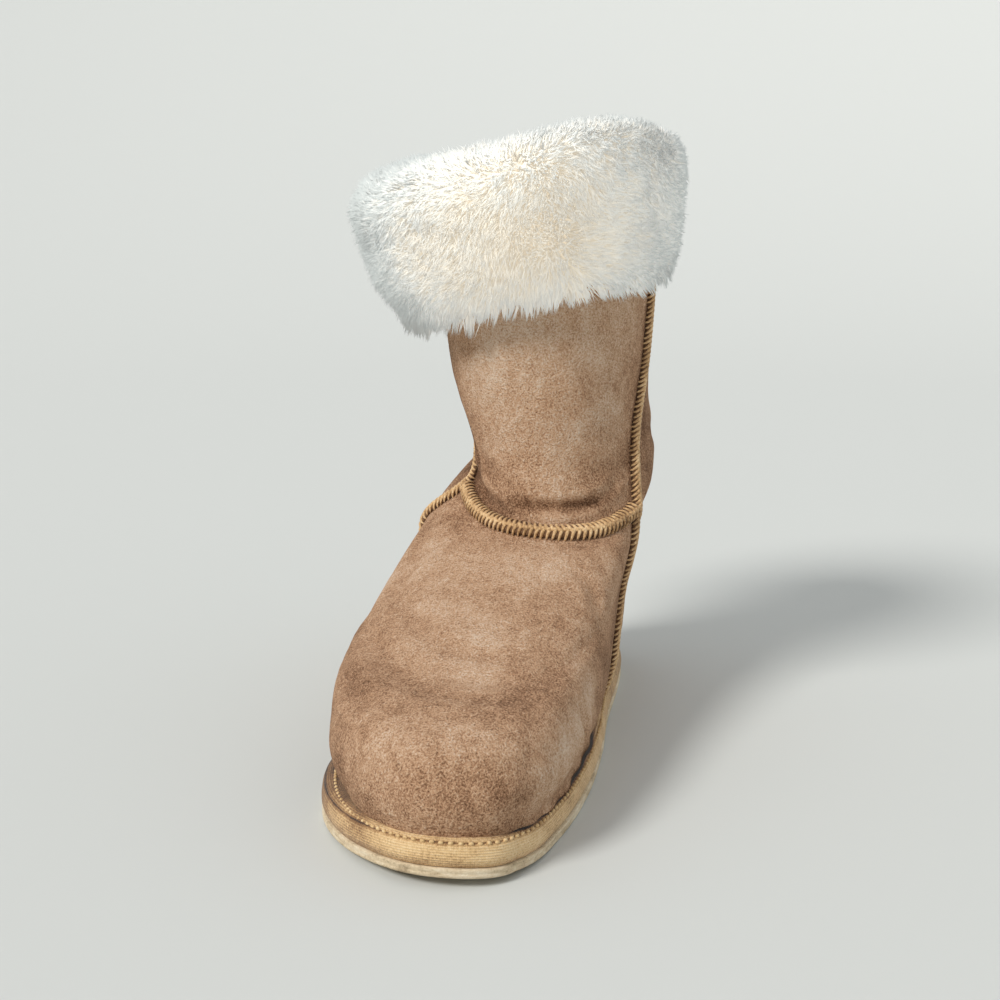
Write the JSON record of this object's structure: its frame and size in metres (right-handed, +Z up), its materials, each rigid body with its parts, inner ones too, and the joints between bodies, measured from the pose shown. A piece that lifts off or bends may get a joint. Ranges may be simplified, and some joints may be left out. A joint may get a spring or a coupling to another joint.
{
  "type": "mukluk boot",
  "caption": "Slip-on right winter boot with a soft suede upper, raised overcast seams, a folded-down fur cuff and a cloth-wrapped platform sole.",
  "frame": {"origin": "on the floor, under the middle of the boot's box", "axes": "+Z up, -Y towards the toe, +X towards the big-toe side of a right foot"},
  "size_m": [0.1294, 0.2664, 0.2378],
  "materials": {
    "suede": "napped, soft and matte, mottled light and dark",
    "fur": "deep plush pile, cream inside and cool white at the tips",
    "fleece": "short curly pile",
    "thread": "tan overcast thread with a slight sheen",
    "cloth": "ribbed tan weave, matte",
    "sole": "matte, scuffed light grey-beige"
  },
  "bodies": {
    "root": {"outsole": "sole", "platform": "cloth", "insole": "fleece", "upper": "suede", "fur_cuff": "fur", "instep_seam": "thread", "side_seam_medial": "thread", "side_seam_lateral": "thread"}
  },
  "joints": []
}
